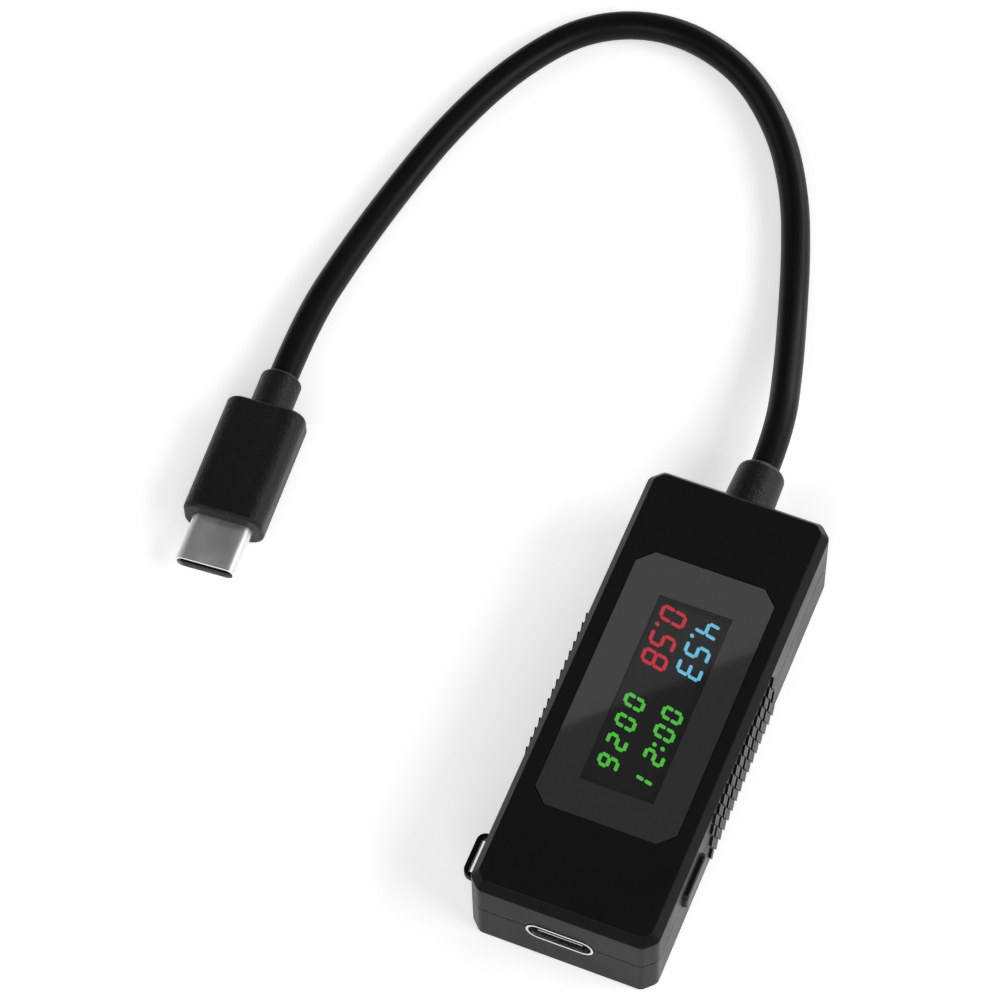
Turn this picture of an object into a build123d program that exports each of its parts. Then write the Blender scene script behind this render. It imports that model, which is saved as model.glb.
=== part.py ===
"""USB-C inline power meter with a captive lead: snap-fit case, colour display, side button.

Millimetres. +Z is up, +Y points to the lead end, +X is the button side.
The origin is the centre of the case's flat underside.
"""

import os
from math import atan, degrees, pi

from build123d import *

# ---------------------------------------------------------------- driving dimensions

# Case
housing_width = 24.8
housing_length = 64.0
housing_height = 13.6
corner_cut = 1.6
bevel_inset = 1.0
bevel_drop = 1.4
foot_chamfer = 0.2
corner_round = 1.2
edge_round = 0.35
seam_chamfer = 0.1
parting_height = 6.9
wall = 1.5
floor_skin = 1.4
top_skin = 1.8
lip_thickness = 0.7
lip_height = 0.8
lip_clearance = 0.08

# Window and display
window_width = 18.8
window_length = 38.4
window_cut = 2.0
window_thickness = 0.8
window_centre = (0.1, 0.5)
window_gap = 0.1
window_sink = 0.05
adhesive_thickness = 0.15
display_width = 9.9
display_length = 27.9
display_centre = (0.3, 0.15)
display_border = 0.9
display_glass_thickness = 1.6
display_gap = 0.2
display_rim = 0.6
display_tray_height = 1.7
display_clearance = 0.25
display_leg = 1.0
display_leg_inset = 0.5
display_pin_side = 0.45
display_pin_pitch = 1.27
display_pin_count = 7

# Charging socket in the front wall
port_height = 6.5
port_proud = 0.1
receptacle_width = 8.94
receptacle_height = 3.26
receptacle_length = 7.35
receptacle_sheet = 0.3
receptacle_block = 2.85
tongue_width = 6.69
tongue_thickness = 0.7
tongue_setback = 0.8
port_clearance = 0.1
contact_width = 0.26
contact_pitch = 0.5
contact_count = 12
contact_thickness = 0.06

# Circuit board
board_side_gap = 1.4
board_front_gap = 0.3
board_back_gap = 9.7
board_thickness = 1.2
post_radius = 1.5
post_pin_radius = 0.7
post_pin_clearance = 0.08
post_pin_rise = 0.6
post_side_inset = 1.9
post_front_inset = 7.0
post_back_inset = 5.3

# Side button and its switch
button_station = -18.6
button_length = 6.9
button_height = 3.2
button_corner = 0.9
button_proud = 0.65
button_clearance = 0.15
button_flange_overhang = 0.7
button_flange_thickness = 0.8
button_flange_gap = 0.1
button_travel = 0.3
switch_length = 5.6
switch_depth = 3.2
switch_roof = 1.28
switch_slot_floor = 0.6
plunger_length = 3.0
plunger_height = 1.5
plunger_clearance = 0.05
plunger_insertion = 1.2

# Side grips
grip_station = -1.1
grip_columns = 16
grip_pitch = 1.46
grip_pad_width = 1.2
grip_pad_height = 3.2
grip_row_step = 1.7
grip_rise = 0.3
grip_root = 0.2
grip_rows_below = 3
grip_rows_above = 2
grip_parting_gap = 0.1

# Lanyard loop
loop_station = -24.8
loop_length = 6.4
loop_reach = 2.4
loop_bar = 0.7
loop_thickness = 1.0
loop_drop = 1.5
loop_corner = 1.2
loop_root = 0.6

# Strain relief and lead
relief_height = 6.5
relief_protrusion = 8.0
relief_base_wall = 1.46
relief_tip_wall = 1.16
relief_tip_round = 1.0
relief_neck_wall = 0.76
relief_collar_wall = 1.66
relief_collar_thickness = 1.4
relief_gap = 0.05
cable_radius = 2.0
cable_bore_clearance = 0.04
cable_tail_proud = 0.6

# Points of the lead's route, from the strain relief to the plug: chosen by hand
cable_route = [
    (0, 40, 6.5),
    (0, 50, 6.5),
    (-4.2, 60.8, 3.8),
    (-6.9, 72, 2),
    (-10.8, 83.2, 2),
    (-17.2, 95.6, 2),
    (-26.4, 103.2, 2),
    (-37.8, 105.4, 2),
    (-48.8, 101.4, 2),
    (-56.4, 92.4, 2),
    (-61.2, 78.6, 2),
    (-62.8, 64.2, 2),
    (-66.4, 48.5, 3.25),
    (-65.2, 31.6, 3.25),
]

# Plug at the far end of the lead
plug_width = 11.1
plug_thickness = 6.5
plug_length = 17.8
plug_edge_round = 2.3
plug_end_round = 0.6
plug_neck_round = 0.5
plug_neck_wall = 0.85
plug_neck_length = 5.6
plug_shell_width = 8.25
plug_shell_height = 2.4
plug_shell_sheet = 0.25
plug_shell_reach = 6.9
plug_shell_seat = 3.0
plug_fit = 0.05
plug_mouth_height = 0.75
plug_mouth_width = 6.9
plug_mouth_depth = 6.0
plug_board_width = 7.4
plug_board_length = 8.0
plug_board_thickness = 0.8

# Wires inside the case: x of each solder pad
wire_radius = 0.5
wire_offset = 0.75
wire_pads = {"power": -6.0, "data_plus": -2.0, "data_minus": 2.0, "ground": 6.0}
wire_bend = 1.6
pad_inset = 3.1
joint_width = 2.2
joint_length = 2.4
joint_rise = 1.15

# ---------------------------------------------------------------- sizes that follow

half_width = housing_width / 2
half_length = housing_length / 2
inner_half_width = half_width - wall
ceiling = housing_height - top_skin
window_top = housing_height - window_sink
window_bottom = window_top - window_thickness
ledge_top = window_bottom - adhesive_thickness
glass_top = window_bottom - display_gap
glass_bottom = glass_top - display_glass_thickness
tray_bottom = glass_bottom - display_tray_height
tray_width = display_width + 2 * (display_border + display_rim)
tray_length = display_length + 2 * (display_border + display_rim)
leg_spacing = tray_length - display_leg - 2 * display_leg_inset
board_top = port_height - receptacle_height / 2
board_bottom = board_top - board_thickness
board_front = -half_length + wall + board_front_gap
board_back = half_length - wall - board_back_gap
board_middle = (board_front + board_back) / 2
board_length = board_back - board_front
board_width = 2 * (inner_half_width - board_side_gap)
port_face = -half_length - port_proud
flange_face = inner_half_width - button_flange_gap
flange_back = flange_face - button_flange_thickness
switch_face = board_width / 2 - 0.1
switch_back = switch_face - switch_depth
cable_end = half_length + relief_protrusion
collar_inside = half_length - wall - relief_gap - relief_collar_thickness
tail_inside = collar_inside - cable_tail_proud
post_half_spacing = board_width / 2 - post_side_inset
post_stations = (board_front + post_front_inset, board_back - post_back_inset)
post_places = [(x, y) for x in (-post_half_spacing, post_half_spacing) for y in post_stations]
pad_station = board_back - pad_inset
switch_height = parting_height - board_top + plunger_height / 2 + switch_roof
loop_height = parting_height - loop_drop
bore_radius = cable_radius + cable_bore_clearance
relief_neck_radius = bore_radius + relief_neck_wall
plug_neck_radius = cable_radius + plug_neck_wall
grip_reach = grip_parting_gap + grip_pad_height / 2
grip_rows_low = [parting_height - grip_reach - grip_row_step * i for i in range(grip_rows_below)]
grip_rows_high = [parting_height + grip_reach + grip_row_step * i for i in range(grip_rows_above)]


def octagon(width, length, cut, centre=(0.0, 0.0)):
    """Draw a rectangle with its corners cut at 45 degrees in the open sketch."""
    x = width / 2
    y = length / 2
    corners = [
        (x, cut - y), (x, y - cut), (x - cut, y), (cut - x, y),
        (-x, y - cut), (-x, cut - y), (cut - x, -y), (x - cut, -y),
    ]
    Polygon(*[(px + centre[0], py + centre[1]) for px, py in corners], align=None)


def case_outline(inset=0.0):
    """Draw the case's plan, moved inwards by the same distance all round."""
    cut = corner_cut - inset * (2 - 2 ** 0.5)
    octagon(housing_width - 2 * inset, housing_length - 2 * inset, max(cut, 0.2))


def side_plane(side, offset=0.0):
    """Plane on the wall at +X or -X, facing outwards, with its y along +Z."""
    return Plane(origin=(side * (half_width + offset), 0, 0), x_dir=(0, side, 0), z_dir=(side, 0, 0))


def grip_pads(side, heights):
    """Draw staggered rows of upright diamonds in the open sketch."""
    w = grip_pad_width / 2
    h = grip_pad_height / 2
    for row, height in enumerate(heights):
        count = grip_columns - row % 2
        with Locations((side * grip_station, height)):
            with GridLocations(grip_pitch, 1, count, 1):
                Polygon((-w, 0), (0, -h), (w, 0), (0, h), align=None)


# ---------------------------------------------------------------- openings in the case walls

# Socket mouth, button slot and lead hole, cut from both halves of the case
with BuildPart() as wall_openings:
    with BuildSketch(Plane.XZ.offset(half_length + 0.5)):
        with Locations((0, port_height)):
            SlotOverall(receptacle_width + 2 * port_clearance, receptacle_height + 2 * port_clearance)
    extrude(amount=-wall - 1)
    with BuildSketch(Plane.XZ.offset(-half_length - 0.5)):
        with Locations((0, relief_height)):
            Circle(relief_neck_radius + relief_gap)
    extrude(amount=wall + 1)
    with BuildSketch(side_plane(1, 0.5)):
        with Locations((button_station, parting_height)):
            RectangleRounded(
                button_length + 2 * button_clearance,
                button_height + 2 * button_clearance,
                button_corner + button_clearance,
            )
    extrude(amount=-wall - 1)

# ---------------------------------------------------------------- case

# Lower half: floor, walls, locating lip, board posts, grips and the lanyard loop
with BuildPart() as bottom_case:
    with BuildSketch():
        case_outline()
    extrude(amount=parting_height)
    fillet(bottom_case.edges().filter_by(Axis.Z), corner_round)
    chamfer(bottom_case.faces().sort_by(Axis.Z)[0].edges(), foot_chamfer)
    chamfer(bottom_case.faces().sort_by(Axis.Z)[-1].edges(), seam_chamfer)
    with BuildSketch(Plane.XY.offset(parting_height)):
        case_outline(wall - lip_thickness)
    extrude(amount=lip_height)
    with BuildSketch(Plane.XY.offset(floor_skin)):
        case_outline(wall)
    extrude(amount=parting_height + lip_height - floor_skin, mode=Mode.SUBTRACT)
    with BuildSketch(Plane.XY.offset(floor_skin)):
        with Locations(*post_places):
            Circle(post_radius)
    extrude(amount=board_bottom - floor_skin)
    with BuildSketch(Plane.XY.offset(board_bottom)):
        with Locations(*post_places):
            Circle(post_pin_radius)
    extrude(amount=board_thickness + post_pin_rise)
    for side in (-1, 1):
        with BuildSketch(side_plane(side, -grip_root)):
            grip_pads(side, grip_rows_low)
        extrude(amount=grip_root + grip_rise)
    with BuildSketch(Plane.XY.offset(loop_height - loop_thickness / 2)) as loop_plan:
        with Locations((-half_width + (loop_root - loop_reach) / 2, loop_station)):
            Rectangle(loop_reach + loop_root, loop_length)
        fillet(loop_plan.vertices().group_by(Axis.X)[0], loop_corner)
        with Locations((-half_width - (loop_reach - loop_bar) / 2, loop_station)):
            Rectangle(loop_reach - loop_bar, loop_length - 2 * loop_bar, mode=Mode.SUBTRACT)
    extrude(amount=loop_thickness)
    add(wall_openings.part, mode=Mode.SUBTRACT)
bottom_case.part.label = "bottom_case"

# Upper half: bevelled lid with the window recess, display opening and lip rebate
with BuildPart() as top_cover:
    with BuildSketch(Plane.XY.offset(parting_height)):
        case_outline()
    extrude(amount=housing_height - bevel_drop - parting_height)
    with BuildSketch(Plane.XY.offset(housing_height - bevel_drop)):
        case_outline()
    extrude(amount=bevel_drop, taper=degrees(atan(bevel_inset / bevel_drop)))
    rims = top_cover.edges().filter_by(Plane.XY) - top_cover.faces().sort_by(Axis.Z)[0].edges()
    fillet(rims, edge_round)
    fillet(top_cover.edges() - top_cover.edges().filter_by(Plane.XY), corner_round)
    chamfer(top_cover.faces().sort_by(Axis.Z)[0].edges(), seam_chamfer)
    with BuildSketch(Plane.XY.offset(parting_height)):
        case_outline(wall)
    extrude(amount=ceiling - parting_height, mode=Mode.SUBTRACT)
    with BuildSketch(Plane.XY.offset(parting_height)):
        case_outline(wall - lip_thickness - lip_clearance)
    extrude(amount=lip_height + lip_clearance, mode=Mode.SUBTRACT)
    with BuildSketch(Plane.XY.offset(ledge_top)):
        octagon(
            window_width + 2 * window_gap,
            window_length + 2 * window_gap,
            window_cut,
            window_centre,
        )
    extrude(amount=housing_height - ledge_top, mode=Mode.SUBTRACT)
    with BuildSketch(Plane.XY.offset(ceiling)):
        with Locations(display_centre):
            Rectangle(tray_width + 2 * display_clearance, tray_length + 2 * display_clearance)
    extrude(amount=top_skin, mode=Mode.SUBTRACT)
    for side in (-1, 1):
        with BuildSketch(side_plane(side, -grip_root)):
            grip_pads(side, grip_rows_high)
        extrude(amount=grip_root + grip_rise)
    add(wall_openings.part, mode=Mode.SUBTRACT)
top_cover.part.label = "top_cover"

# ---------------------------------------------------------------- window and display

# Smoked clear panel, nearly flush with the lid
with BuildPart() as window_panel:
    with BuildSketch(Plane.XY.offset(window_bottom)):
        octagon(window_width, window_length, window_cut, window_centre)
    extrude(amount=window_thickness)
window_panel.part.label = "window_panel"

# Adhesive gasket between the panel and its ledge
with BuildPart() as window_adhesive:
    with BuildSketch(Plane.XY.offset(ledge_top)):
        octagon(window_width, window_length, window_cut, window_centre)
        with Locations(display_centre):
            Rectangle(
                tray_width + 2 * display_clearance,
                tray_length + 2 * display_clearance,
                mode=Mode.SUBTRACT,
            )
    extrude(amount=adhesive_thickness)
window_adhesive.part.label = "window_adhesive"

# Display cell, whose visible area is the driving display size
with BuildPart() as display_glass:
    with BuildSketch(Plane.XY.offset(glass_bottom)):
        with Locations(display_centre):
            Rectangle(display_width + 2 * display_border, display_length + 2 * display_border)
    extrude(amount=display_glass_thickness)
display_glass.part.label = "display_glass"

# Tray that carries the cell on four legs, with a raised rim round it
with BuildPart() as display_tray:
    with BuildSketch(Plane.XY.offset(tray_bottom)):
        with Locations(display_centre):
            Rectangle(tray_width, tray_length)
    extrude(amount=glass_top - tray_bottom)
    with BuildSketch(Plane.XY.offset(glass_bottom)):
        with Locations(display_centre):
            Rectangle(display_width + 2 * display_border, display_length + 2 * display_border)
    extrude(amount=display_glass_thickness, mode=Mode.SUBTRACT)
    with BuildSketch(Plane.XY.offset(board_top)):
        with Locations(display_centre):
            with GridLocations(tray_width - display_leg, leg_spacing, 2, 2):
                Rectangle(display_leg, display_leg)
    extrude(amount=tray_bottom - board_top)
display_tray.part.label = "display_tray"

# Row of pins from the tray through the board
pin_station = display_centre[1] + tray_length / 2 - 3 * display_leg
with BuildPart() as display_pins:
    with BuildSketch(Plane.XY.offset(board_bottom - 0.6)):
        with Locations((display_centre[0], pin_station)):
            with GridLocations(display_pin_pitch, 1, display_pin_count, 1):
                Rectangle(display_pin_side, display_pin_side)
    extrude(amount=tray_bottom - board_bottom + 0.6)
display_pins.part.label = "display_pins"

# ---------------------------------------------------------------- circuit board

with BuildPart() as circuit_board:
    with BuildSketch(Plane.XY.offset(board_bottom)):
        with Locations((0, board_middle)):
            RectangleRounded(board_width, board_length, 0.8)
        with Locations(*post_places):
            Circle(post_pin_radius + post_pin_clearance, mode=Mode.SUBTRACT)
        with Locations((display_centre[0], pin_station)):
            with GridLocations(display_pin_pitch, 1, display_pin_count, 1):
                Circle(display_pin_side / 2 ** 0.5 + 0.04, mode=Mode.SUBTRACT)
    extrude(amount=board_thickness)
circuit_board.part.label = "circuit_board"


def gull_lead(edge, side, height):
    """Corner points of a bent lead that leaves a chip's side and lands on the board."""
    profile = [
        (0.0, height + 0.15), (0.45, height + 0.15), (0.45, 0.15), (1.0, 0.15),
        (1.0, 0.0), (0.3, 0.0), (0.3, height), (0.0, height),
    ]
    return [(side * (edge + x), board_top + z) for x, z in profile]


# Chips: node name, centre, width in x, length in y, height, lead pitch, leads a side, lead width
chips = {
    "microcontroller": ((-4.0, -10.2), 4.4, 6.5, 1.0, 0.65, 10, 0.24),
    "memory_chip": ((-4.2, -2.6), 3.9, 4.9, 1.5, 1.27, 4, 0.42),
    "charge_switch": ((4.4, -11.0), 3.9, 4.9, 1.5, 1.27, 4, 0.42),
}
chip_standoff = 0.1
chip_nodes = {}
for name, (centre, width, length, height, pitch, count, lead_width) in chips.items():
    with BuildPart() as body:
        with BuildSketch(Plane.XY.offset(board_top + chip_standoff)):
            with Locations(centre):
                Rectangle(width, length)
        extrude(amount=height - chip_standoff)
        chamfer(body.faces().sort_by(Axis.Z)[-1].edges(), 0.15)
    body.part.label = name
    chip_nodes[name] = body.part
    with BuildPart() as leads:
        for index in range(count):
            station = centre[1] + pitch * (index - (count - 1) / 2)
            with BuildSketch(Plane.XZ.offset(-station - lead_width / 2)):
                for side in (-1, 1):
                    points = gull_lead(width / 2, side, height / 2 - 0.1)
                    Polygon(*[(x + centre[0], z) for x, z in points], align=None)
            extrude(amount=lead_width)
    leads.part.label = name + "_leads"
    chip_nodes[name + "_leads"] = leads.part

# Current-sensing resistor
shunt_place = (4.6, -1.5)
with BuildPart() as shunt_resistor:
    with BuildSketch(Plane.XY.offset(board_top)):
        with Locations(shunt_place):
            Rectangle(3.2, 6.3)
    extrude(amount=0.6)
shunt_resistor.part.label = "shunt_resistor"

# Clock crystal
with BuildPart() as clock_crystal:
    with BuildSketch(Plane.XY.offset(board_top)):
        with Locations((-4.2, 4.0)):
            RectangleRounded(2.5, 3.2, 0.3)
    extrude(amount=0.8)
clock_crystal.part.label = "clock_crystal"

# Small chip capacitors and resistors
capacitor_places = [(-0.2, -15.0), (-0.2, -13.0), (0.2, -6.5), (-7.8, -8.0), (-7.8, 3.0), (1.2, 5.0)]
resistor_places = [(0.0, -9.0), (0.0, -3.5), (0.0, -1.0), (-7.8, -4.0), (3.6, 5.0), (6.2, 5.0)]
with BuildPart() as chip_capacitors:
    with BuildSketch(Plane.XY.offset(board_top)):
        with Locations(*capacitor_places):
            Rectangle(0.8, 1.6)
    extrude(amount=0.8)
chip_capacitors.part.label = "chip_capacitors"

with BuildPart() as chip_resistors:
    with BuildSketch(Plane.XY.offset(board_top)):
        with Locations(*resistor_places):
            Rectangle(0.8, 1.6)
    extrude(amount=0.45)
chip_resistors.part.label = "chip_resistors"

# ---------------------------------------------------------------- charging socket

# Drawn metal sleeve, open at the front
with BuildPart() as receptacle_shell:
    with BuildSketch(Plane.XZ.offset(-port_face)):
        with Locations((0, port_height)):
            SlotOverall(receptacle_width, receptacle_height)
            SlotOverall(
                receptacle_width - 2 * receptacle_sheet,
                receptacle_height - 2 * receptacle_sheet,
                mode=Mode.SUBTRACT,
            )
    extrude(amount=-receptacle_length)
receptacle_shell.part.label = "receptacle_shell"

# Insulator block at the back of the sleeve, with the tongue that the plug goes over
block_face = port_face + receptacle_length - receptacle_block
with BuildPart() as receptacle_tongue:
    with BuildSketch(Plane.XZ.offset(-block_face)):
        with Locations((0, port_height)):
            SlotOverall(
                receptacle_width - 2 * receptacle_sheet,
                receptacle_height - 2 * receptacle_sheet,
            )
    extrude(amount=-receptacle_block)
    with BuildSketch(Plane.XZ.offset(-port_face - tongue_setback)):
        with Locations((0, port_height)):
            Rectangle(tongue_width, tongue_thickness)
    extrude(amount=-(receptacle_length - receptacle_block - tongue_setback))
receptacle_tongue.part.label = "receptacle_tongue"

# Contacts on both faces of the tongue
contact_length = receptacle_length - receptacle_block - tongue_setback - 0.4
with BuildPart() as receptacle_contacts:
    for face in (-1, 1):
        with BuildSketch(Plane.XZ.offset(-port_face - tongue_setback - 0.4)):
            with Locations((0, port_height + face * (tongue_thickness + contact_thickness) / 2)):
                with GridLocations(contact_pitch, 1, contact_count, 1):
                    Rectangle(contact_width, contact_thickness)
        extrude(amount=-contact_length)
receptacle_contacts.part.label = "receptacle_contacts"

# ---------------------------------------------------------------- side button

# Cap that shows in the side wall, held in by its flange
with BuildPart() as button_cap:
    with BuildSketch(side_plane(1, flange_face - half_width)):
        with Locations((button_station, parting_height)):
            RectangleRounded(button_length, button_height, button_corner)
    extrude(amount=half_width + button_proud - flange_face)
    fillet(button_cap.faces().sort_by(Axis.X)[-1].edges(), 0.25)
    with BuildSketch(side_plane(1, flange_back - half_width)):
        with Locations((button_station, parting_height)):
            Rectangle(
                button_length + 2 * button_flange_overhang,
                button_height + 2 * button_flange_overhang,
            )
    extrude(amount=button_flange_thickness)
button_cap.part.label = "button_cap"

# Switch housing on the board, with a slot for its plunger
with BuildPart() as switch_body:
    with BuildSketch(Plane.XY.offset(board_top)):
        with Locations(((switch_face + switch_back) / 2, button_station)):
            Rectangle(switch_depth, switch_length)
    extrude(amount=switch_height)
    with BuildSketch(side_plane(1, switch_face - half_width)):
        with Locations((button_station, parting_height)):
            Rectangle(plunger_length + 2 * plunger_clearance, plunger_height + 2 * plunger_clearance)
    extrude(amount=switch_slot_floor - switch_depth, mode=Mode.SUBTRACT)
switch_body.part.label = "switch_body"

# Plunger that the cap pushes into the switch
with BuildPart() as switch_plunger:
    with BuildSketch(side_plane(1, switch_face - plunger_insertion - half_width)):
        with Locations((button_station, parting_height)):
            Rectangle(plunger_length, plunger_height)
    extrude(amount=flange_back - switch_face + plunger_insertion)
switch_plunger.part.label = "switch_plunger"

# ---------------------------------------------------------------- strain relief, lead and wires

# Turned boot: collar inside the wall, neck in the hole, rounded sleeve outside
wall_inside = half_length - wall
with BuildPart() as cable_strain_relief:
    with BuildSketch(Plane.YZ) as boot:
        with Locations((0, relief_height)):
            Polygon(
                (collar_inside, bore_radius),
                (collar_inside, bore_radius + relief_collar_wall),
                (wall_inside - relief_gap, bore_radius + relief_collar_wall),
                (wall_inside - relief_gap, relief_neck_radius),
                (half_length + relief_gap, relief_neck_radius),
                (half_length + relief_gap, bore_radius + relief_base_wall),
                (cable_end, bore_radius + relief_tip_wall),
                (cable_end, bore_radius),
                align=None,
            )
        tip = boot.vertices().group_by(Axis.X)[-1].sort_by(Axis.Y)[-1]
        fillet(tip, relief_tip_round)
    revolve(axis=Axis((0, 0, relief_height), (0, 1, 0)))
cable_strain_relief.part.label = "cable_strain_relief"

# Stretch of the lead that the boot grips, up to where the wires come out
with BuildPart() as cable_tail:
    with BuildSketch(Plane.XZ.offset(-tail_inside)):
        with Locations((0, relief_height)):
            Circle(cable_radius)
    extrude(amount=tail_inside - cable_end)
cable_tail.part.label = "cable_tail"


def bend_radii(points):
    """Largest even radius that each corner's two runs allow."""
    corners = [Vector(*p) for p in points]
    runs = [b - a for a, b in zip(corners, corners[1:])]
    return [
        0.45 * min(a.length, b.length) / tan_half(a.get_angle(b))
        for a, b in zip(runs, runs[1:])
    ]


def tan_half(angle):
    """Tangent of half an angle given in degrees."""
    return Vector(1, 0).rotate(Axis.Z, angle / 2).Y / Vector(1, 0).rotate(Axis.Z, angle / 2).X


# Free lead
cable_radii = bend_radii(cable_route)
print("cable radii", [round(r, 1) for r in cable_radii])
with BuildPart() as usb_cable:
    with BuildLine() as cable_path:
        FilletPolyline(*cable_route, radius=cable_radii)
    with BuildSketch(Plane(cable_path.line @ 0, z_dir=cable_path.line % 0)):
        Circle(cable_radius)
    sweep()
usb_cable.part.label = "usb_cable"
cable_length = sum(edge.length for edge in cable_path.edges())
print("cable length", round(cable_length, 2))
print("cable volume", round(usb_cable.part.volume / (pi * cable_radius**2 * cable_length), 5))

# Four insulated wires from the lead to the board
wire_nodes = {}
for name, pad_x in wire_pads.items():
    inner_x = wire_offset if pad_x > 0 else -wire_offset
    rise = wire_offset if abs(pad_x) > 4 else -wire_offset
    lying = board_top + 0.05 + wire_radius
    route = [
        (inner_x, tail_inside, relief_height + rise),
        (inner_x, tail_inside - 2.6, relief_height + rise),
        (pad_x, pad_station + joint_length / 2 + 3.2, lying),
        (pad_x, pad_station + joint_length / 2, lying),
    ]
    with BuildPart() as wire:
        with BuildLine() as path:
            FilletPolyline(*route, radius=wire_bend)
        with BuildSketch(Plane(path.line @ 0, z_dir=path.line % 0)):
            Circle(wire_radius)
        sweep()
    wire.part.label = "wire_" + name
    wire_nodes["wire_" + name] = wire.part

# Solder joints where the wires land
with BuildPart() as solder_joints:
    with BuildSketch(Plane.XY.offset(board_top)):
        with Locations(*[(x, pad_station) for x in wire_pads.values()]):
            Rectangle(joint_width, joint_length)
    extrude(amount=joint_rise)
    chamfer(solder_joints.faces().group_by(Axis.Z)[-1].edges(), 0.3)
solder_joints.part.label = "solder_joints"

# ---------------------------------------------------------------- plug

lead_end = Vector(*cable_route[-1])
lead_axis = (Vector(*cable_route[-2]) - lead_end).normalized()
plug_face = Plane(
    origin=lead_end - lead_axis * (plug_neck_length + plug_length),
    x_dir=lead_axis.cross(Vector(0, 0, 1)),
    z_dir=lead_axis,
)

# Moulded grip and neck, hollow where the shell and the small board sit
with BuildPart() as plug_overmould:
    with BuildSketch(plug_face):
        RectangleRounded(plug_width, plug_thickness, plug_edge_round)
    extrude(amount=plug_length)
    ends = plug_overmould.faces().sort_by(Axis(plug_face.origin, lead_axis))
    fillet(ends[0].edges() + ends[-1].edges(), plug_end_round)
    with BuildSketch(plug_face.offset(plug_length)):
        Circle(plug_neck_radius)
    extrude(amount=plug_neck_length)
    fillet(plug_overmould.faces().sort_by(Axis(plug_face.origin, lead_axis))[-1].edges(), plug_neck_round)
    with BuildSketch(plug_face):
        SlotOverall(plug_shell_width + 2 * plug_fit, plug_shell_height + 2 * plug_fit)
    extrude(amount=plug_shell_seat + plug_fit, mode=Mode.SUBTRACT)
    with BuildSketch(plug_face.offset(plug_shell_seat)):
        Rectangle(plug_board_width + 2 * plug_fit, plug_board_thickness + 2 * plug_fit)
    extrude(amount=plug_board_length + 2 * plug_fit, mode=Mode.SUBTRACT)
plug_overmould.part.label = "plug_overmould"

# Steel shell
with BuildPart() as plug_shell:
    with BuildSketch(plug_face.offset(-plug_shell_reach)):
        SlotOverall(plug_shell_width, plug_shell_height)
        SlotOverall(
            plug_shell_width - 2 * plug_shell_sheet,
            plug_shell_height - 2 * plug_shell_sheet,
            mode=Mode.SUBTRACT,
        )
    extrude(amount=plug_shell_reach + plug_shell_seat)
plug_shell.part.label = "plug_shell"

# Insulator inside the shell, with the mouth that takes the socket's tongue
with BuildPart() as plug_insulator:
    with BuildSketch(plug_face.offset(0.3 - plug_shell_reach)):
        SlotOverall(
            plug_shell_width - 2 * plug_shell_sheet,
            plug_shell_height - 2 * plug_shell_sheet,
        )
    extrude(amount=plug_shell_reach - 0.3 + plug_shell_seat)
    with BuildSketch(plug_face.offset(0.3 - plug_shell_reach)):
        Rectangle(plug_mouth_width, plug_mouth_height)
    extrude(amount=plug_mouth_depth, mode=Mode.SUBTRACT)
plug_insulator.part.label = "plug_insulator"

# Spring contacts in the mouth
with BuildPart() as plug_contacts:
    for face in (-1, 1):
        with BuildSketch(plug_face.offset(0.9 - plug_shell_reach)):
            with Locations((0, face * (plug_mouth_height - contact_thickness) / 2)):
                with GridLocations(contact_pitch, 1, contact_count, 1):
                    Rectangle(contact_width, contact_thickness)
        extrude(amount=plug_mouth_depth - 0.7)
plug_contacts.part.label = "plug_contacts"

# Small board behind the shell
with BuildPart() as plug_board:
    with BuildSketch(plug_face.offset(plug_shell_seat + plug_fit)):
        Rectangle(plug_board_width, plug_board_thickness)
    extrude(amount=plug_board_length)
plug_board.part.label = "plug_board"

# ---------------------------------------------------------------- files

nodes = [
    bottom_case.part, top_cover.part, window_panel.part, window_adhesive.part,
    display_glass.part, display_tray.part, display_pins.part, circuit_board.part,
    shunt_resistor.part, clock_crystal.part, chip_capacitors.part, chip_resistors.part,
    receptacle_shell.part, receptacle_tongue.part, receptacle_contacts.part,
    button_cap.part, switch_body.part, switch_plunger.part,
    cable_strain_relief.part, cable_tail.part, usb_cable.part, solder_joints.part,
    plug_overmould.part, plug_shell.part, plug_insulator.part, plug_contacts.part,
    plug_board.part, *chip_nodes.values(), *wire_nodes.values(),
]
os.makedirs("parts", exist_ok=True)
for node in nodes:
    export_step(node, f"parts/{node.label}.step")
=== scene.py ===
from math import copysign, radians

import bmesh
import bpy
from mathutils import Matrix, Vector


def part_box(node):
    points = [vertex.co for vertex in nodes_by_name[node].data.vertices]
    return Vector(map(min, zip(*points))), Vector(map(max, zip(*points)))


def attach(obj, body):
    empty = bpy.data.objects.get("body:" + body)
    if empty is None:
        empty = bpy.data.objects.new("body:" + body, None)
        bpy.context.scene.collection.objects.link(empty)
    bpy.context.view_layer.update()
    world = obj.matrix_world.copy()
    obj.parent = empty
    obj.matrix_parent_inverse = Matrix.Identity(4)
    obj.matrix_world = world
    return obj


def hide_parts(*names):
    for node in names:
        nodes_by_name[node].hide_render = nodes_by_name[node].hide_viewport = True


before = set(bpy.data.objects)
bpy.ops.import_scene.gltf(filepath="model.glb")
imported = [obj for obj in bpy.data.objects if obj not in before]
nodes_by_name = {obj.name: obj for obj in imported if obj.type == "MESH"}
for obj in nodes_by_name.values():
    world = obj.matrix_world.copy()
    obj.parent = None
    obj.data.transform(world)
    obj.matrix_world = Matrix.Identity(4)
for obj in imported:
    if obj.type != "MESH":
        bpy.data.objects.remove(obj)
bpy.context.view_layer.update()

# ---------------------------------------------------------------- camera
# A long lens looks down on the meter from its socket end, a little round to the button side,
# and takes in the whole loop of the lead.
camera_place = (0.08245, -0.23388, 0.48679)
camera_tilt = 30.297
camera_roll = 0.923
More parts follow.
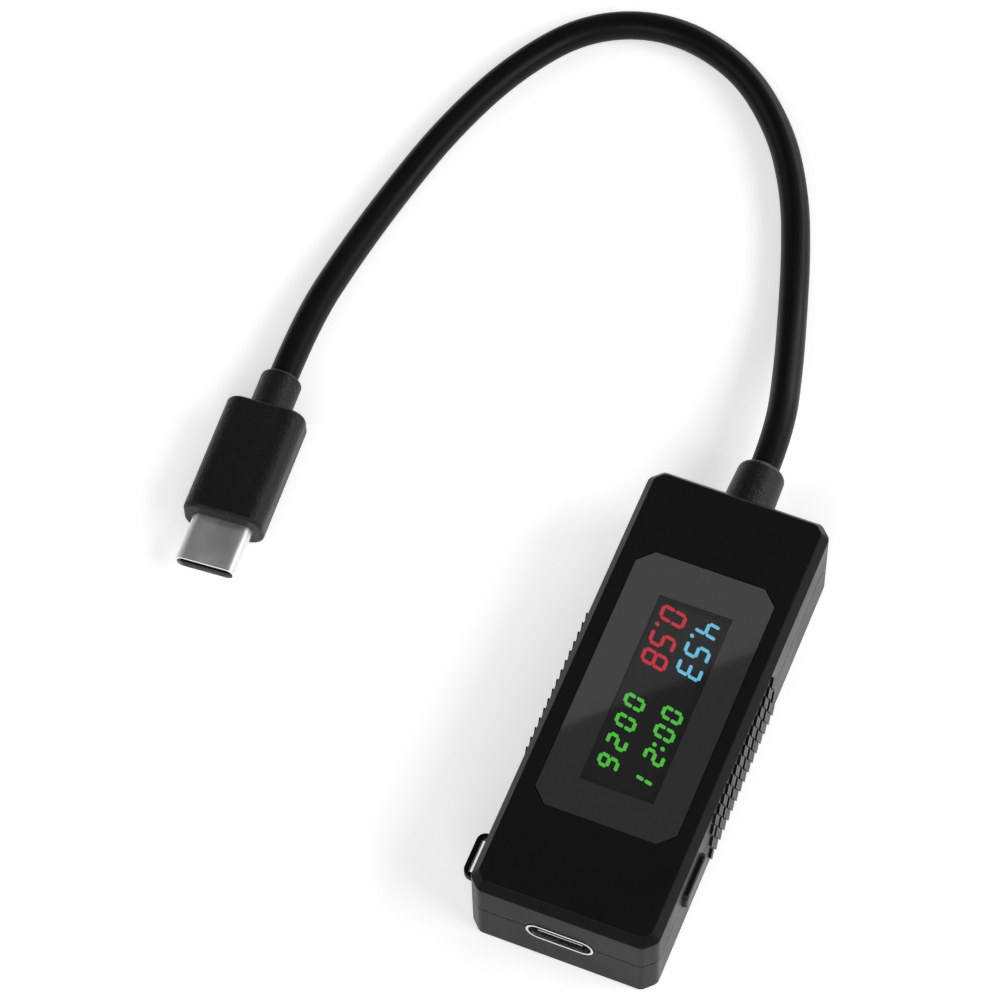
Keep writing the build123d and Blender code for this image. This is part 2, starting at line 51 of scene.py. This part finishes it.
camera_heading = 22.093
lens_length = 153.44
camera_data = bpy.data.cameras.new("studio_camera")
camera_data.sensor_width = 36.0
camera_data.lens = lens_length
camera_data.clip_start = 0.02
camera_data.clip_end = 20.0
camera = bpy.data.objects.new("studio_camera", camera_data)
camera.location = camera_place
camera.rotation_euler = (radians(camera_tilt), radians(camera_roll), radians(camera_heading))
bpy.context.collection.objects.link(camera)
bpy.context.scene.camera = camera
bpy.context.scene.view_settings.view_transform = "Standard"

# ---------------------------------------------------------------- free lead
# A round soft PVC lead, 4 mm thick. It leaves the boot level, comes down to the table in an
# easy bend, turns back round in one wide loop and rises a little into the plug's neck.
lead_route = [
    (0.0, 0.0400, 0.0065),
    (-0.0002, 0.0470, 0.0063),
    (-0.0028, 0.0575, 0.0042),
    (-0.0056, 0.0670, 0.0026),
    (-0.0084, 0.0760, 0.0020),
    (-0.0120, 0.0855, 0.0020),
    (-0.0176, 0.0950, 0.0020),
    (-0.0265, 0.1032, 0.0020),
    (-0.0383, 0.1062, 0.0020),
    (-0.0490, 0.1019, 0.0020),
    (-0.0560, 0.0914, 0.0020),
    (-0.0605, 0.0788, 0.0020),
    (-0.0632, 0.0660, 0.0020),
    (-0.0650, 0.0535, 0.0024),
    (-0.0659, 0.0415, 0.00325),
    (-0.0652, 0.0316, 0.00325),
]
lead_radius = 0.0020


def texture_group(name, inputs, outputs):
    """An empty shader group with its named sockets, and its input and output nodes."""
    group = bpy.data.node_groups.new(name, "ShaderNodeTree")
    for label, kind, value in inputs:
        socket = group.interface.new_socket(label, in_out="INPUT", socket_type=kind)
        if value is not None:
            socket.default_value = value
    for label, kind in outputs:
        group.interface.new_socket(label, in_out="OUTPUT", socket_type=kind)
    return group, group.nodes.new("NodeGroupInput"), group.nodes.new("NodeGroupOutput")


# Surface of moulded parts: a fine spark grain and a slow mottle in the gloss
moulded_texture, group_in, group_out = texture_group(
    "moulded_texture",
    [
        ("Vector", "NodeSocketVector", None),
        ("Grain Scale", "NodeSocketFloat", 4000.0),
        ("Mottle Scale", "NodeSocketFloat", 160.0),
    ],
    [("Height", "NodeSocketFloat"), ("Mottle", "NodeSocketFloat")],
)
tree = moulded_texture
grain = tree.nodes.new("ShaderNodeTexNoise")
grain.inputs["Detail"].default_value = 3.0
grain.inputs["Roughness"].default_value = 0.65
pits = tree.nodes.new("ShaderNodeTexVoronoi")
pits.feature = "SMOOTH_F1"
both = tree.nodes.new("ShaderNodeMath")
both.operation = "MULTIPLY_ADD"
both.inputs[1].default_value = 0.6
mottle = tree.nodes.new("ShaderNodeTexNoise")
mottle.inputs["Detail"].default_value = 4.0
tree.links.new(group_in.outputs["Vector"], grain.inputs["Vector"])
tree.links.new(group_in.outputs["Grain Scale"], grain.inputs["Scale"])
tree.links.new(group_in.outputs["Vector"], pits.inputs["Vector"])
tree.links.new(group_in.outputs["Grain Scale"], pits.inputs["Scale"])
tree.links.new(group_in.outputs["Vector"], mottle.inputs["Vector"])
tree.links.new(group_in.outputs["Mottle Scale"], mottle.inputs["Scale"])
tree.links.new(pits.outputs["Distance"], both.inputs[0])
tree.links.new(grain.outputs["Fac"], both.inputs[2])
tree.links.new(both.outputs["Value"], group_out.inputs["Height"])
tree.links.new(mottle.outputs["Fac"], group_out.inputs["Mottle"])


def plain_shader(name, colour, roughness, metallic=0.0):
    """A new material, with its tree and its Principled BSDF set to plain values."""
    material = bpy.data.materials.new(name)
    material.use_nodes = True
    shader = material.node_tree.nodes["Principled BSDF"]
    shader.inputs["Base Color"].default_value = (*colour, 1.0)
    shader.inputs["Roughness"].default_value = roughness
    shader.inputs["Metallic"].default_value = metallic
    return material, material.node_tree, shader


def object_vector(tree):
    """The object's own coordinates, in metres."""
    return tree.nodes.new("ShaderNodeTexCoord").outputs["Object"]


def between(tree, factor, low, high):
    """A value that runs from low to high over the middle of a noise factor's range."""
    node = tree.nodes.new("ShaderNodeMapRange")
    node.inputs["From Min"].default_value = 0.3
    node.inputs["From Max"].default_value = 0.7
    node.inputs["To Min"].default_value = low
    node.inputs["To Max"].default_value = high
    tree.links.new(factor, node.inputs["Value"])
    return node.outputs["Result"]


def blend_colours(tree, factor, first, second):
    """A colour between two, by a factor."""
    node = tree.nodes.new("ShaderNodeMix")
    node.data_type = "RGBA"
    node.inputs["A"].default_value = (*first, 1.0)
    node.inputs["B"].default_value = (*second, 1.0)
    tree.links.new(factor, node.inputs["Factor"])
    return node.outputs["Result"]


def raised_by(tree, height, depth):
    """A bump normal from a height, with its full depth in metres."""
    node = tree.nodes.new("ShaderNodeBump")
    node.inputs["Strength"].default_value = 1.0
    node.inputs["Distance"].default_value = depth
    tree.links.new(height, node.inputs["Height"])
    return node.outputs["Normal"]


def moulded(name, colour, roughness, grain_scale, grain_depth, variation=0.15, specular=0.5):
    """Moulded plastic or rubber with its grain, a slow mottle in colour and in gloss."""
    material, tree, shader = plain_shader(name, colour, roughness)
    texture = tree.nodes.new("ShaderNodeGroup")
    texture.node_tree = moulded_texture
    texture.inputs["Grain Scale"].default_value = grain_scale
    texture.inputs["Mottle Scale"].default_value = 140.0
    tree.links.new(object_vector(tree), texture.inputs["Vector"])
    mottle = texture.outputs["Mottle"]
    darker = tuple(c * (1 - variation) for c in colour)
    lighter = tuple(c * (1 + variation) for c in colour)
    tree.links.new(blend_colours(tree, mottle, darker, lighter), shader.inputs["Base Color"])
    gloss = between(tree, mottle, roughness - 0.04, roughness + 0.04)
    tree.links.new(gloss, shader.inputs["Roughness"])
    grained = raised_by(tree, texture.outputs["Height"], grain_depth)
    tree.links.new(grained, shader.inputs["Normal"])
    shader.inputs["Specular IOR Level"].default_value = specular
    return material


def dress(node, material):
    """Give a carried-over node its material."""
    part = nodes_by_name[node]
    part.data.materials.clear()
    part.data.materials.append(material)


jacket = moulded(
    "lead_jacket", (0.0048, 0.0048, 0.0050), roughness=0.38, grain_scale=1400.0,
    grain_depth=0.000020, variation=0.1, specular=0.11,
)
lead_curve = bpy.data.curves.new("free_lead", "CURVE")
lead_curve.dimensions = "3D"
lead_curve.bevel_depth = lead_radius
lead_curve.bevel_resolution = 8
lead_curve.resolution_u = 16
lead_curve.use_fill_caps = True
spline = lead_curve.splines.new("NURBS")
spline.points.add(len(lead_route) - 1)
for point, place in zip(spline.points, lead_route):
    point.co = (*place, 1.0)
spline.order_u = 3
spline.use_endpoint_u = True
lead_curve.materials.append(jacket)
free_lead = bpy.data.objects.new("free_lead", lead_curve)
bpy.context.collection.objects.link(free_lead)
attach(free_lead, "meter")
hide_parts("usb_cable")

# ---------------------------------------------------------------- studio
# A plain white light table, lit faintly from below, under soft boxes that stand low on every
# side, so the flat top of the case looks up into an unlit ceiling and stays dark.
table_half_width = 4.0
table_glow = 0.45
floor_mesh = bpy.data.meshes.new("table_top")
floor_shape = bmesh.new()
bmesh.ops.create_grid(floor_shape, x_segments=1, y_segments=1, size=table_half_width)
floor_shape.to_mesh(floor_mesh)
floor_shape.free()
table_top = bpy.data.objects.new("table_top", floor_mesh)
bpy.context.collection.objects.link(table_top)
diffuser, _, shader = plain_shader("white_diffuser", (0.93, 0.93, 0.93), 0.9)
shader.inputs["Specular IOR Level"].default_value = 0.1
shader.inputs["Emission Color"].default_value = (1.0, 1.0, 1.0, 1.0)
shader.inputs["Emission Strength"].default_value = table_glow
floor_mesh.materials.append(diffuser)


def soft_box(name, place, width, height, power, turn=None):
    """An oblong soft light that faces the meter, or straight down at a turn about Z."""
    data = bpy.data.lights.new(name, "AREA")
    data.shape = "RECTANGLE"
    data.size = width
    data.size_y = height
    data.energy = power
    lamp = bpy.data.objects.new(name, data)
    lamp.location = place
    if turn is None:
        aim = Vector((-0.02, 0.03, 0.0)) - lamp.location
        lamp.rotation_mode = "QUATERNION"
        lamp.rotation_quaternion = aim.to_track_quat("-Z", "Y")
    else:
        lamp.rotation_euler = (0.0, 0.0, radians(turn))
    bpy.context.collection.objects.link(lamp)


soft_box("front_box", (0.15, -1.05, 0.75), width=1.2, height=0.7, power=7.0)
soft_box("right_box", (1.05, 0.10, 0.70), width=1.2, height=0.7, power=10.5)
soft_box("left_box", (-1.05, -0.20, 0.70), width=1.2, height=0.7, power=4.0)
soft_box("back_box", (0.30, 1.25, 0.35), width=1.2, height=0.4, power=8.0)
# A small overhead panel whose straight edge shows across the window
soft_box("window_box", (-0.1155, 0.2726, 0.5), width=0.14, height=0.085, power=0.027, turn=45.4)

# A dim room for the reflections, with a white wall behind wherever the lens looks past the table
studio_world = bpy.data.worlds.new("studio_world")
studio_world.use_nodes = True
world_tree = studio_world.node_tree
dim_room = world_tree.nodes["Background"]
dim_room.inputs["Color"].default_value = (0.05, 0.05, 0.052, 1.0)
white_wall = world_tree.nodes.new("ShaderNodeBackground")
white_wall.inputs["Color"].default_value = (1.0, 1.0, 1.0, 1.0)
seen_directly = world_tree.nodes.new("ShaderNodeLightPath")
either = world_tree.nodes.new("ShaderNodeMixShader")
world_tree.links.new(seen_directly.outputs["Is Camera Ray"], either.inputs["Fac"])
world_tree.links.new(dim_room.outputs["Background"], either.inputs[1])
world_tree.links.new(white_wall.outputs["Background"], either.inputs[2])
world_tree.links.new(either.outputs["Shader"], world_tree.nodes["World Output"].inputs["Surface"])
bpy.context.scene.world = studio_world

# ---------------------------------------------------------------- case
# Two snapped halves of black ABS with a fine spark-eroded texture. The grips, the lanyard
# loop and the bevelled lid are moulded in one with them.
case_plastic = moulded(
    "case_plastic", (0.0076, 0.0076, 0.0078), roughness=0.33, grain_scale=3200.0,
    grain_depth=0.000018, variation=0.12, specular=0.085,
)
dress("bottom_case", case_plastic)
dress("top_cover", case_plastic)

# ---------------------------------------------------------------- window
# Polished acrylic, printed dark grey on its back except over the display, and stuck down
# on a black foam gasket.
glass_low, glass_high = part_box("display_glass")
display_border = 0.0009
view_low = Vector((glass_low[0] + display_border, glass_low[1] + display_border, 0.0))
view_high = Vector((glass_high[0] - display_border, glass_high[1] - display_border, 0.0))
view_middle = (view_low + view_high) / 2
view_size = view_high - view_low

display_opening, group_in, group_out = texture_group(
    "display_opening", [("Vector", "NodeSocketVector", None)], [("Mask", "NodeSocketFloat")]
)
tree = display_opening
axes = tree.nodes.new("ShaderNodeSeparateXYZ")
tree.links.new(group_in.outputs["Vector"], axes.inputs["Vector"])
sides = []
for axis in range(2):
    inside = tree.nodes.new("ShaderNodeMath")
    inside.operation = "COMPARE"
    inside.inputs[1].default_value = view_middle[axis]
    inside.inputs[2].default_value = view_size[axis] / 2
    tree.links.new(axes.outputs[axis], inside.inputs[0])
    sides.append(inside.outputs["Value"])
overlap = tree.nodes.new("ShaderNodeMath")
overlap.operation = "MULTIPLY"
tree.links.new(sides[0], overlap.inputs[0])
tree.links.new(sides[1], overlap.inputs[1])
tree.links.new(overlap.outputs["Value"], group_out.inputs["Mask"])

clear_acrylic_cover = 0.40
smoked_panel, tree, shader = plain_shader("smoked_panel", (0.026, 0.026, 0.027), 0.03)
opening = tree.nodes.new("ShaderNodeGroup")
opening.node_tree = display_opening
tree.links.new(object_vector(tree), opening.inputs["Vector"])
cover = tree.nodes.new("ShaderNodeMapRange")
cover.inputs["To Min"].default_value = 1.0
cover.inputs["To Max"].default_value = clear_acrylic_cover
tree.links.new(opening.outputs["Mask"], cover.inputs["Value"])
tree.links.new(cover.outputs["Result"], shader.inputs["Alpha"])
# Faint wiping marks in the polish, and a slight unevenness in the print
polish = tree.nodes.new("ShaderNodeGroup")
polish.node_tree = moulded_texture
polish.inputs["Grain Scale"].default_value = 2200.0
polish.inputs["Mottle Scale"].default_value = 90.0
tree.links.new(object_vector(tree), polish.inputs["Vector"])
wiped = between(tree, polish.outputs["Mottle"], 0.022, 0.042)
tree.links.new(wiped, shader.inputs["Roughness"])
print_dark = (0.0305, 0.0305, 0.0315)
print_light = (0.0337, 0.0337, 0.0347)
printed = blend_colours(tree, polish.outputs["Height"], print_dark, print_light)
tree.links.new(printed, shader.inputs["Base Color"])
dress("window_panel", smoked_panel)

gasket_foam = moulded(
    "gasket_foam", (0.008, 0.008, 0.008), roughness=0.9, grain_scale=2500.0, grain_depth=0.00003
)
dress("window_adhesive", gasket_foam)

# ---------------------------------------------------------------- display
# A dark cell in a white tray on four legs, with a row of pins down to the board. Lit
# seven-segment numerals lie on it in three colours, and read towards the socket.
cell_glass = moulded(
    "cell_glass", (0.012, 0.013, 0.015), roughness=0.30, grain_scale=1500.0,
    grain_depth=0.0000002, variation=0.1, specular=0.05,
)
dress("display_glass", cell_glass)
tray_plastic = moulded(
    "tray_plastic", (0.62, 0.62, 0.58), roughness=0.5, grain_scale=2500.0,
    grain_depth=0.000010, variation=0.05,
)
dress("display_tray", tray_plastic)


def lit_ink(name, colour, strength):
    """A glowing numeral colour, a little uneven as its back light is."""
    unlit = tuple(c * 0.2 for c in colour)
    material, tree, shader = plain_shader(name, unlit, 0.5)
    unevenness = tree.nodes.new("ShaderNodeTexNoise")
    unevenness.inputs["Scale"].default_value = 900.0
    unevenness.inputs["Detail"].default_value = 3.0
    tree.links.new(object_vector(tree), unevenness.inputs["Vector"])
    dim = tuple(c * 0.82 for c in colour)
    glow = blend_colours(tree, unevenness.outputs["Fac"], dim, colour)
    tree.links.new(glow, shader.inputs["Emission Color"])
    shader.inputs["Emission Strength"].default_value = strength
    return material


segment_lay = {  # centre across and up in half digits, and whether it stands upright
    "top": (0.0, 1.0, False), "middle": (0.0, 0.0, False), "foot": (0.0, -1.0, False),
    "left_high": (-1.0, 0.5, True), "left_low": (-1.0, -0.5, True),
    "right_high": (1.0, 0.5, True), "right_low": (1.0, -0.5, True),
}
lit_segments = {
    "0": "top foot left_high left_low right_high right_low",
    "1": "right_high right_low",
    "2": "top middle foot right_high left_low",
    "3": "top middle foot right_high right_low",
    "4": "middle left_high right_high right_low",
    "5": "top middle foot left_high right_low",
    "6": "top middle foot left_high left_low right_low",
    "8": "top middle foot left_high left_low right_high right_low",
}
segment_gap = 0.00012
digit_lean = 0.2
ink_height = 0.00002
dot_size = 0.62  # radius, in segment thicknesses
dot_pitch = 0.34  # room for a point or colon, in digit pitches
colon_heights = (0.3, 0.7)  # in digit heights


def add_segment(shape, length, thickness, turn):
    """One lozenge-ended bar of a numeral, centred on the origin."""
    radius = thickness / 3 ** 0.5
    bar = bmesh.ops.create_circle(shape, cap_ends=True, radius=radius, segments=6)["verts"]
    bmesh.ops.rotate(shape, verts=bar, cent=(0, 0, 0), matrix=Matrix.Rotation(radians(90), 3, "Z"))
    for corner in bar:
        corner.co.x += copysign(length / 2 - radius, corner.co.x)
    bmesh.ops.rotate(shape, verts=bar, cent=(0, 0, 0), matrix=Matrix.Rotation(turn, 3, "Z"))
    return bar


def numerals(name, text, base, start, height, width, pitch, thickness, ink):
    """A row of leaning seven-segment numerals: up is +X, and the row reads towards -Y."""
    shape = bmesh.new()
    across = (width - thickness) / 2
    rise = (height - thickness) / 2
    along = start
    for symbol in text:
        if symbol in ".:":
            radius = dot_size * thickness
            levels = [radius] if symbol == "." else [share * height for share in colon_heights]
            for level in levels:
                circle = bmesh.ops.create_circle(shape, cap_ends=True, radius=radius, segments=12)
                offset = (along + 0.1 * pitch, level, 0)
                bmesh.ops.translate(shape, verts=circle["verts"], vec=offset)
            along += dot_pitch * pitch
            continue
        for segment in lit_segments[symbol].split():
            right, up, upright = segment_lay[segment]
            length = (rise if upright else 2 * across) - segment_gap
            bar = add_segment(shape, length, thickness, radians(90) if upright else 0.0)
            centre = (along + width / 2 + right * across, height / 2 + up * rise, 0)
            bmesh.ops.translate(shape, verts=bar, vec=centre)
        along += pitch
    lean = Matrix.Identity(4)
    lean[0][1] = digit_lean
    turn = Matrix(((0, 1, 0, 0), (-1, 0, 0, 0), (0, 0, 1, 0), (0, 0, 0, 1)))
    place = Matrix.Translation((base, 0.0, glass_high[2] + ink_height))
    bmesh.ops.transform(shape, verts=shape.verts, matrix=place @ turn @ lean)
    bmesh.ops.recalc_face_normals(shape, faces=shape.faces)
    for face in shape.faces:
        if face.normal.z < 0:
            face.normal_flip()
    mesh = bpy.data.meshes.new(name)
    shape.to_mesh(mesh)
    shape.free()
    mesh.materials.append(ink)
    piece = bpy.data.objects.new(name, mesh)
    bpy.context.collection.objects.link(piece)
    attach(piece, "meter")


blue_ink = lit_ink("blue_ink", (0.16, 0.61, 0.87), strength=2.3)
red_ink = lit_ink("red_ink", (0.73, 0.018, 0.04), strength=2.0)
green_ink = lit_ink("green_ink", (0.10, 0.68, 0.06), strength=2.0)
numerals(
    "volts_reading", "4.53", base=0.00080, start=-0.0136, height=0.0035, width=0.0021,
    pitch=0.0027, thickness=0.00047, ink=blue_ink,
)
numerals(
    "amps_reading", "0.58", base=-0.0039, start=-0.0137, height=0.0036, width=0.0022,
    pitch=0.0028, thickness=0.00048, ink=red_ink,
)
numerals(
    "time_reading", "00:21", base=0.00135, start=-0.0003, height=0.0029, width=0.0019,
    pitch=0.0027, thickness=0.00050, ink=green_ink,
)
numerals(
    "charge_reading", "0026", base=-0.0037, start=-0.0003, height=0.0029, width=0.0019,
    pitch=0.0030, thickness=0.00050, ink=green_ink,
)

# ---------------------------------------------------------------- metals
# Tinned leads and solder joints, the crystal's can, the sleeves of the socket and plug in
# nickel-plated steel, and stamped contacts under a thin dull gilt.
drawn_texture, group_in, group_out = texture_group(
    "drawn_texture",
    [("Vector", "NodeSocketVector", None), ("Scale", "NodeSocketFloat", 900.0)],
    [("Height", "NodeSocketFloat"), ("Mottle", "NodeSocketFloat")],
)
tree = drawn_texture
stretch = tree.nodes.new("ShaderNodeMapping")
stretch.inputs["Scale"].default_value = (1.0, 0.06, 1.0)
streaks = tree.nodes.new("ShaderNodeTexNoise")
streaks.inputs["Detail"].default_value = 4.0
mottle = tree.nodes.new("ShaderNodeTexNoise")
mottle.inputs["Scale"].default_value = 320.0
mottle.inputs["Detail"].default_value = 3.0
tree.links.new(group_in.outputs["Vector"], stretch.inputs["Vector"])
tree.links.new(stretch.outputs["Vector"], streaks.inputs["Vector"])
tree.links.new(group_in.outputs["Scale"], streaks.inputs["Scale"])
tree.links.new(group_in.outputs["Vector"], mottle.inputs["Vector"])
tree.links.new(streaks.outputs["Fac"], group_out.inputs["Height"])
tree.links.new(mottle.outputs["Fac"], group_out.inputs["Mottle"])


def drawn_metal(name, colour, roughness, scale, depth):
    """Plated sheet or wire with faint drawing lines along the case's length."""
    material, tree, shader = plain_shader(name, colour, roughness, 1.0)
    texture = tree.nodes.new("ShaderNodeGroup")
    texture.node_tree = drawn_texture
    texture.inputs["Scale"].default_value = scale
    tree.links.new(object_vector(tree), texture.inputs["Vector"])
    mottle = texture.outputs["Mottle"]
    darker = tuple(c * 0.9 for c in colour)
    tree.links.new(blend_colours(tree, mottle, darker, colour), shader.inputs["Base Color"])
    gloss = between(tree, mottle, roughness - 0.05, roughness + 0.06)
    tree.links.new(gloss, shader.inputs["Roughness"])
    lined = raised_by(tree, texture.outputs["Height"], depth)
    tree.links.new(lined, shader.inputs["Normal"])
    return material


nickel = drawn_metal(
    "nickel_plate", (0.80, 0.80, 0.80), roughness=0.22, scale=6000.0, depth=0.000002
)
tin = drawn_metal("tinned_metal", (0.66, 0.66, 0.64), roughness=0.38, scale=4000.0, depth=0.000003)
gilt = drawn_metal("gilt_contact", (0.52, 0.38, 0.18), roughness=0.35, scale=6000.0, depth=0.000002)
for node in ("display_pins", "microcontroller_leads", "memory_chip_leads", "charge_switch_leads"):
    dress(node, tin)
dress("solder_joints", tin)
dress("clock_crystal", nickel)
dress("receptacle_shell", nickel)
satin_nickel = drawn_metal(
    "satin_nickel", (0.92, 0.92, 0.92), roughness=0.45, scale=5000.0, depth=0.000003
)
dress("plug_shell", satin_nickel)
dress("receptacle_contacts", gilt)
dress("plug_contacts", gilt)

# ---------------------------------------------------------------- circuit board
# Glass-fibre board under green solder mask, with its copper tracks showing through, and the
# small parts soldered on it.
board_tracks, group_in, group_out = texture_group(
    "board_tracks",
    [("Vector", "NodeSocketVector", None), ("Scale", "NodeSocketFloat", 420.0)],
    [("Track", "NodeSocketFloat")],
)
tree = board_tracks
cells = tree.nodes.new("ShaderNodeTexVoronoi")
cells.feature = "DISTANCE_TO_EDGE"
edge = tree.nodes.new("ShaderNodeMapRange")
edge.inputs["From Min"].default_value = 0.05
edge.inputs["From Max"].default_value = 0.09
edge.inputs["To Min"].default_value = 1.0
edge.inputs["To Max"].default_value = 0.0
tree.links.new(group_in.outputs["Vector"], cells.inputs["Vector"])
tree.links.new(group_in.outputs["Scale"], cells.inputs["Scale"])
tree.links.new(cells.outputs["Distance"], edge.inputs["Value"])
tree.links.new(edge.outputs["Result"], group_out.inputs["Track"])

bare_green = (0.006, 0.075, 0.03)
green_over_copper = (0.02, 0.17, 0.06)
track_thickness = 0.00003
solder_mask, tree, shader = plain_shader("solder_mask", (0.008, 0.09, 0.035), 0.3)
tracks = tree.nodes.new("ShaderNodeGroup")
tracks.node_tree = board_tracks
tree.links.new(object_vector(tree), tracks.inputs["Vector"])
mask_colour = blend_colours(tree, tracks.outputs["Track"], bare_green, green_over_copper)
tree.links.new(mask_colour, shader.inputs["Base Color"])
over_tracks = raised_by(tree, tracks.outputs["Track"], track_thickness)
tree.links.new(over_tracks, shader.inputs["Normal"])
dress("circuit_board", solder_mask)
dress("plug_board", solder_mask)

chip_epoxy = moulded(
    "chip_epoxy", (0.018, 0.018, 0.018), roughness=0.55, grain_scale=5000.0, grain_depth=0.000008
)
for node in ("microcontroller", "memory_chip", "charge_switch", "shunt_resistor", "chip_resistors"):
    dress(node, chip_epoxy)
ceramic = moulded(
    "capacitor_ceramic", (0.36, 0.25, 0.15), roughness=0.5, grain_scale=5000.0, grain_depth=0.000006
)
dress("chip_capacitors", ceramic)

# ---------------------------------------------------------------- socket and plug insulators
# Slightly glossy black liquid-crystal polymer, moulded round the contacts and pressed into the
# steel sleeves. The socket's has a flat tongue, and the plug's has the mouth that takes it.
insulator = moulded(
    "socket_insulator", (0.010, 0.010, 0.010), roughness=0.35, grain_scale=4000.0,
    grain_depth=0.000004,
)
dress("receptacle_tongue", insulator)
dress("plug_insulator", insulator)

# The steel mid-plate, whose front edge shows as a bright line before the socket's tongue
tongue_low, tongue_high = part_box("receptacle_tongue")
plate_inset = 0.0012
plate_proud = 0.00048
plate_thickness = 0.00018
plate_depth = 0.0010
plate_edge_round = 0.00003
plate_shape = bmesh.new()
bmesh.ops.create_cube(plate_shape, size=1.0)
plate_size = (tongue_high[0] - tongue_low[0] - 2 * plate_inset, plate_depth, plate_thickness)
bmesh.ops.scale(plate_shape, verts=plate_shape.verts, vec=plate_size)
port_middle = (tongue_low[2] + tongue_high[2]) / 2
plate_station = tongue_low[1] - plate_proud + plate_depth / 2
bmesh.ops.translate(plate_shape, verts=plate_shape.verts, vec=(0.0, plate_station, port_middle))
bmesh.ops.bevel(
    plate_shape, geom=plate_shape.edges[:], offset=plate_edge_round, affect="EDGES", segments=2,
    profile=0.5, material=-1,
)
plate_mesh = bpy.data.meshes.new("tongue_plate")
plate_shape.to_mesh(plate_mesh)
plate_shape.free()
plate_mesh.materials.append(nickel)
tongue_plate = bpy.data.objects.new("tongue_plate", plate_mesh)
bpy.context.collection.objects.link(tongue_plate)
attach(tongue_plate, "meter")

# ---------------------------------------------------------------- side button
# A satin black ABS cap, held behind the right wall by its flange, and the switch soldered to
# the board behind it, with the nylon plunger that it pushes.
button_plastic = moulded(
    "button_plastic", (0.0035, 0.0035, 0.0037), roughness=0.38, grain_scale=3600.0,
    grain_depth=0.000006,
)
dress("button_cap", button_plastic)
dress("switch_body", chip_epoxy)
nylon = moulded(
    "plunger_nylon", (0.48, 0.43, 0.35), roughness=0.45, grain_scale=3000.0, grain_depth=0.000006
)
dress("switch_plunger", nylon)

# ---------------------------------------------------------------- strain relief and wires
# A soft black boot moulded on the lead and gripped by the back wall, and the lead's four
# insulated wires, stripped of their jacket and soldered to the board.
boot_rubber = moulded(
    "boot_rubber", (0.0048, 0.0048, 0.0050), roughness=0.42, grain_scale=2800.0,
    grain_depth=0.000080, variation=0.15, specular=0.34,
)
dress("cable_strain_relief", boot_rubber)
dress("cable_tail", jacket)
insulation = {
    "wire_power": (0.45, 0.015, 0.012), "wire_ground": (0.012, 0.012, 0.012),
    "wire_data_plus": (0.015, 0.26, 0.05), "wire_data_minus": (0.62, 0.62, 0.60),
}
for node, colour in insulation.items():
    sleeve = moulded(
        node + "_sleeve", colour, roughness=0.4, grain_scale=3000.0, grain_depth=0.000004,
        variation=0.06,
    )
    dress(node, sleeve)

# ---------------------------------------------------------------- plug
# The grip and neck, moulded in one over the lead's end and the back of the plug in a slightly
# rubbery black plastic with a fine grain.
grip_plastic = moulded(
    "plug_grip", (0.0066, 0.0066, 0.0069), roughness=0.40, grain_scale=2800.0,
    grain_depth=0.000100, variation=0.15, specular=0.25,
)
dress("plug_overmould", grip_plastic)
